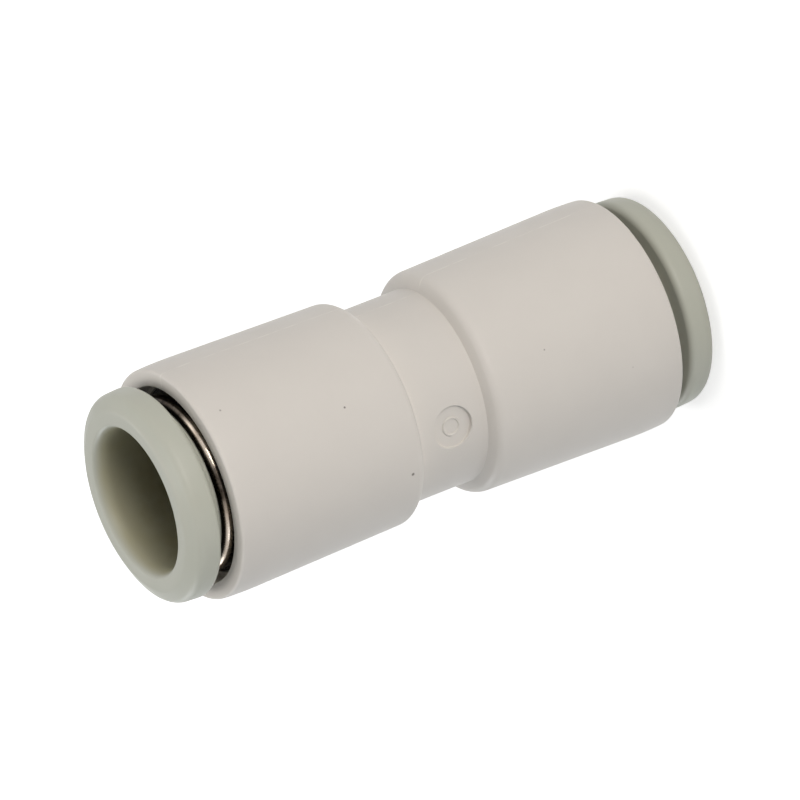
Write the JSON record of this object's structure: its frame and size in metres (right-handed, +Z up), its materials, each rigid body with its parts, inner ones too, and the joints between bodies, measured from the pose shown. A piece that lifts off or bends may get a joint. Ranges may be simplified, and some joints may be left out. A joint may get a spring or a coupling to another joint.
{
  "type": "push-in straight union",
  "caption": "Push-in straight union: white waisted body with a release button at each end, joins two air or vacuum tubes of the same size in line.",
  "frame": {"origin": "centre of the face of the bottom release button, which the union stands on", "axes": "+Z up along the union's axis, from the bottom port to the top port; the round recess of the neck faces -Y"},
  "size_m": [0.0132, 0.0132, 0.0337],
  "materials": {
    "body_resin": "moulded, fine satin",
    "button_resin": "moulded, satin",
    "collet_resin": "moulded",
    "spring_stainless": "stamped sheet",
    "guide_metal": "drawn sheet, bright",
    "seal_rubber": "moulded, matt"
  },
  "bodies": {
    "housing": {"body": "body_resin", "top_seal": "seal_rubber", "top_collet": "collet_resin", "top_chuck": "spring_stainless", "top_guide": "guide_metal", "bottom_seal": "seal_rubber", "bottom_collet": "collet_resin", "bottom_chuck": "spring_stainless", "bottom_guide": "guide_metal"},
    "top_button": {"top_release_button": "button_resin"},
    "bottom_button": {"bottom_release_button": "button_resin"}
  },
  "joints": [
    {"name": "top_button_press", "type": "slide", "parent": "housing", "child": "top_button", "axis": [0, 0, -1], "range_m": [0, 0.00055], "stiffness_N_per_m": 150},
    {"name": "bottom_button_press", "type": "slide", "parent": "housing", "child": "bottom_button", "axis": [0, 0, 1], "range_m": [0, 0.00055], "stiffness_N_per_m": 150}
  ]
}
